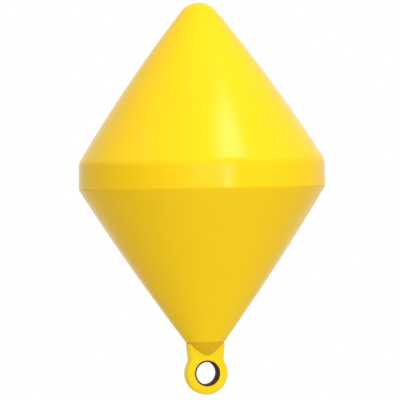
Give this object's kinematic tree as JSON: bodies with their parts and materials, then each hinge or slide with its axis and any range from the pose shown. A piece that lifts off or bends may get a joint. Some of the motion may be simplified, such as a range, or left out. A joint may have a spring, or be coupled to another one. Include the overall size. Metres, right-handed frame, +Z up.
{
  "type": "double-cone navigation buoy",
  "caption": "Yellow double-cone marker buoy with a round tip, a short belt at the waist and a plate with a steel-bushed mooring eye at its foot.",
  "frame": {"origin": "on the hull's axis, at the waterline of the moored buoy, 120 mm below the belt's lower ridge", "axes": "+Z up along the hull's axis, towards the round tip; the eye plate lies in the XZ plane, so the eye's bore runs along Y; the filling plug is on the +Y side"},
  "size_m": [0.7998, 0.7998, 1.2729],
  "materials": {
    "hull_yellow": "satin moulded polyethylene, coloured through",
    "lug_yellow": "satin solid polyethylene, coloured through",
    "bush_steel": "dull dark steel tube",
    "seal_rubber": "matt black rubber"
  },
  "bodies": {
    "root": {"upper_shell": "hull_yellow", "lower_shell": "hull_yellow", "mooring_lug": "lug_yellow", "eye_bush": "bush_steel", "filler_plug": "hull_yellow", "plug_seal": "seal_rubber"}
  },
  "joints": []
}
